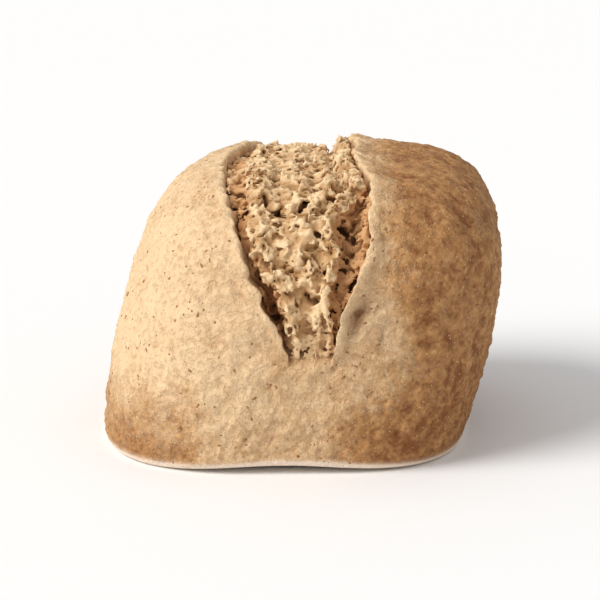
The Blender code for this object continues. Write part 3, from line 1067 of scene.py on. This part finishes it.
# Lays colours over one another, each given as (share, colour)
def layered(tree, colour, *layers):
    for share, over in layers:
        node = addNode(tree, "ShaderNodeMix", {"Factor": share}, data_type="RGBA", clamp_factor=True)
        sockets = [item for item in node.inputs if item.type == "RGBA"]
        for socket, value in zip(sockets, (colour, over)):
            feed(tree, socket, value if isinstance(value, bpy.types.NodeSocket) else (*value, 1.0))
        colour = [item for item in node.outputs if item.type == "RGBA"][0]
    return colour


def newMaterial(name, roughness):
    material = bpy.data.materials.new(name)
    material.use_nodes = True
    shader = material.node_tree.nodes["Principled BSDF"].inputs
    shader["Roughness"].default_value = roughness
    return material, material.node_tree, shader


def plainMaterial(name, colour, roughness):
    material, _, shader = newMaterial(name, roughness)
    shader["Base Color"].default_value = (*colour, 1.0)
    return material


breadShine = 0.25


def finishBread(tree, shader, colour, height, distance):
    shader["Specular IOR Level"].default_value = breadShine
    feed(tree, shader["Base Color"], colour)
    feed(tree, shader["Normal"], made(tree, "ShaderNodeBump", {"Height": height, "Distance": distance}))
    arrange(tree)


crustFinish = {
    "pale": (0.72, 0.47, 0.245),
    "baked": (0.475, 0.245, 0.094),
    "dark": (0.23, 0.088, 0.028),
    "flour": (0.80, 0.585, 0.36),
    "bran": (0.17, 0.068, 0.024),
    "redBran": (0.34, 0.150, 0.060),
    "toast": (0.62, 0.36, 0.175),
    "toastDark": (0.33, 0.150, 0.052),
    # painted shade on the deep floor of the tear
    "deep": (0.13, 0.045, 0.012),
    "lip": (0.84, 0.60, 0.36),
    "flouryEdge": (0.92, 0.77, 0.63),
    "drifts": ((0.017, 1.1), (0.0023, 1.9), (0.0009, 1.8)),  # length and contrast of each
    "driftBake": (0.50, 0.56, 0.42),
    # painted shade in the relief's pits
    "pitPaintedShade": 0.35,
    "pitDepth": 0.0006,
    "specks": {"Spacing": 0.0019, "Size": 0.24, "Share": 0.55},
    "smallSpecks": {"Spacing": 0.0009, "Size": 0.30, "Share": 0.45},
    "speckCover": 0.60,
    "smallSpeckCover": 0.45,
    "flourLengths": {"Patch Length": 0.009, "Grain Length": 0.0013},
    "flourCover": 0.80,
    "flourBump": 0.25,
    "tornDrift": (0.0024, 1.8),
    "lipDrift": (0.2, 0.9, 1.0, 0.45),  # the lip's cover falls from 1.0 to 0.45 as the mottle rises
    # painted shadow in the hollow behind the right lip
    "dentCover": 0.8,
    "roughness": 0.86,
    "bump": 0.00055,
}


def makeCrustMaterial():
    finish = crustFinish
    material, tree, shader = newMaterial("wholeWheatCrust", finish["roughness"])
    place = addNode(tree, "ShaderNodeTexCoord").outputs["Object"]
    drifts = [driftOf(tree, place, *drift) for drift in finish["drifts"]]
    # The tone carries the bake together with painted shade on the right and painted light on the left and
    # under the tear
    tone = attributeValue(tree, "bake")
    for drift, weight in zip(drifts, finish["driftBake"]):
        tone = plus(tree, tone, times(tree, minus(tree, drift, 0.5), weight))
    # Painted shade: the crust is darker in the relief's pits
    pitShade = remap(tree, attributeValue(tree, "relief"), 0.0, -finish["pitDepth"], 0.0, finish["pitPaintedShade"])
    tone = plus(tree, tone, pitShade, clamp=True)
    specks = useGroup(tree, branSpecks, place, finish["specks"])
    smallSpecks = useGroup(tree, branSpecks, place, finish["smallSpecks"])
    # The flour amount is partly painted light: more on the lit left, less on the shaded right
    floury = {**finish["flourLengths"], "Amount": attributeValue(tree, "flour")}
    flour = useGroup(tree, flourDust, place, floury)
    torn = driftOf(tree, place, *finish["tornDrift"])
    lipCover = remap(tree, drifts[1], *finish["lipDrift"])
    colour = layered(
        tree, finish["pale"],
        (remap(tree, tone, 0.0, 0.5), finish["baked"]),
        (remap(tree, tone, 0.5, 1.0), finish["dark"]),
        (times(tree, smallSpecks["Specks"], finish["smallSpeckCover"]), finish["redBran"]),
        (times(tree, specks["Specks"], finish["speckCover"]),
         layered(tree, finish["bran"], (specks["Tone"], finish["redBran"]))),
        (times(tree, flour["Film"], finish["flourCover"]), finish["flour"]),
        (attributeValue(tree, "torn"), layered(tree, finish["toastDark"], (torn, finish["toast"]))),
        # Painted shade: the deep floor of the tear is darker
        (attributeValue(tree, "deep"), finish["deep"]),
        (times(tree, attributeValue(tree, "lip"), lipCover), finish["lip"]),
        # Painted shadow in the hollow behind the right lip
        (times(tree, attributeValue(tree, "dent"), finish["dentCover"]), finish["dark"]),
        (attributeValue(tree, "flouryEdge"), finish["flouryEdge"]))
    height = useGroup(tree, breadGrain, place)["Height"]
    height = plus(tree, height, times(tree, flour["Grains"], finish["flourBump"]))
    finishBread(tree, shader, colour, height, finish["bump"])
    return material


crumbFinish = {
    "crest": (0.86, 0.635, 0.38),
    # middle is the crumb's random mottle and also painted shade part way into the pores
    "middle": (0.48, 0.27, 0.115),
    # painted shade deepest in the pores
    "deep": (0.10, 0.038, 0.011),
    "toasted": (0.59, 0.315, 0.137),
    # painted shade at the bottom of the crack and the groove
    "crackShade": (0.20, 0.078, 0.024),
    "end": (0.68, 0.45, 0.245),
    "bran": (0.26, 0.115, 0.045),
    "middleCover": (-0.0005, 0.0009, 0.0, 1.0),  # depth in a pore, from and to, and cover there: painted shade, darker deeper in the pores
    "deepCover": (0.0009, 0.0024, 0.0, 1.0),
    "toastedCover": (0.0004, 0.0016, 0.0, 0.9),  # how far the surface lies sunk beside the crumb
    # painted shade where the surface lies sunk furthest
    "crackShadeCover": (0.0026, 0.0050, 0.0, 1.0),
    "endCover": (0.075, 0.020, 0.0, 0.85),  # share of the tear's length
    "mottleCover": (0.50, 0.90, 0.0, 0.7),
    "speckCover": 0.65,
    "drift": (0.0060, 1.6),  # length and contrast
    "mottle": (0.0012, 1.8),
    "toastDrift": (0.0, 1.0, -0.0007, 0.0007),
    "specks": {"Spacing": 0.0018, "Size": 0.22, "Share": 0.45},
    "grain": {"Coarse Length": 0.0012},
    "roughness": 0.88,
    "bump": 0.0004,
}


def makeCrumbMaterial():
    finish = crumbFinish
    material, tree, shader = newMaterial("wholeWheatCrumb", finish["roughness"])
    place = addNode(tree, "ShaderNodeTexCoord").outputs["Object"]

    def covered(name, value):
        return remap(tree, value, *finish[name + "Cover"], smooth=True), finish[name]

    depth = attributeValue(tree, "poreDepth")
    drift, mottle = [driftOf(tree, place, *finish[name]) for name in ("drift", "mottle")]
    tearPlace = attributeValue(tree, "tearPlace", "Vector")
    tearPlace = addNode(tree, "ShaderNodeSeparateXYZ", {0: tearPlace}).outputs
    sunk = plus(tree, tearPlace["Z"], remap(tree, drift, *finish["toastDrift"]))
    specks = useGroup(tree, branSpecks, place, finish["specks"])["Specks"]
    colour = layered(
        tree, finish["crest"],
        # Painted shade: the crumb is darker the deeper it lies in a pore; the middle colour also comes in
        # as random mottle
        covered("middle", depth),
        (remap(tree, mottle, *finish["mottleCover"]), finish["middle"]),
        covered("toasted", sunk),
        # Painted shade: darkest where the surface lies sunk furthest in the crack and the groove
        covered("crackShade", sunk),
        (times(tree, specks, finish["speckCover"]), finish["bran"]),
        covered("deep", depth),
        covered("end", tearPlace["Y"]))
    height = useGroup(tree, breadGrain, place, finish["grain"])["Height"]
    finishBread(tree, shader, colour, height, finish["bump"])
    return material


strewnFinish = {
    "bran": (0.36, 0.17, 0.068),
    "flour": (0.62, 0.43, 0.25),
    "roughness": 0.85,
}


crustMaterial = makeCrustMaterial()
crumbMaterial = makeCrumbMaterial()
print("materials ready")

sheetMesh, toNode = makeCrust()
crustSheet = linkPiece(sheetMesh, "crustSheet")
crustPiece = growPiece(crustSheet, crustReliefTree(), crustRelief, crustMaterial, "crust")
dropPiece(crustSheet)
print("crust", triangleCount(crustPiece.data), "triangles")

crumbSheet = linkPiece(makeCrumbSheet(toNode), "crumbSheet")
crumbPiece = growPiece(crumbSheet, crumbTree(), crumbRelief, crumbMaterial, "crumb")
dropPiece(crumbSheet)
keepLargestBody(crumbPiece)
thinPiece(crumbPiece)

pieces = [crustPiece, crumbPiece]
strewn = strewTree()
for name, settings, finish in (("branFlakes", branFlakes, "bran"), ("flourGrains", flourGrains, "flour")):
    material = plainMaterial(name, strewnFinish[finish], strewnFinish["roughness"])
    pieces.append(growPiece(crustPiece, strewn, settings, material, name))
    print(name, triangleCount(pieces[-1].data), "triangles")

for piece in pieces:
    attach(piece, rollBody)
    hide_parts(rollNode)


# A pale floor, a white surround and one soft light from the upper left
studio = {
    "floorSide": 12.0,
    "floorColour": (0.90, 0.90, 0.90),
    "floorRoughness": 0.9,
    "surroundStrength": 0.58,
    "seenStrength": 1.0,  # of the surround where the camera sees it
    "keyPlace": (-0.62, -0.30, 0.62),
    "keySpread": 34.0,  # degrees
    "keyStrength": 2.6,
    "keyColour": (1.0, 0.985, 0.96),
}


def makeStudio():
    half = studio["floorSide"] / 2
    corners = [(-half, -half, 0), (half, -half, 0), (half, half, 0), (-half, half, 0)]
    mesh = meshFrom(corners, [(0, 1, 2, 3)], "floor")
    mesh.materials.append(plainMaterial("paleFloor", studio["floorColour"], studio["floorRoughness"]))
    floor = linkPiece(mesh, "floor")
    world = bpy.data.worlds.new("whiteSurround")
    world.use_nodes = True
    background = world.node_tree.nodes["Background"]
    background.inputs["Color"].default_value = (1, 1, 1, 1)
    seen = addNode(world.node_tree, "ShaderNodeLightPath").outputs["Is Camera Ray"]
    strength = remap(world.node_tree, seen, 0.0, 1.0, studio["surroundStrength"], studio["seenStrength"])
    feed(world.node_tree, background.inputs["Strength"], strength)
    bpy.context.scene.world = world
    light = bpy.data.lights.new("softKey", "SUN")
    light.angle = math.radians(studio["keySpread"])
    light.energy = studio["keyStrength"]
    light.color = studio["keyColour"]
    linkAimed(light, studio["keyPlace"])
    bpy.context.scene.view_settings.view_transform = "Standard"


makeStudio()
print("studio ready")
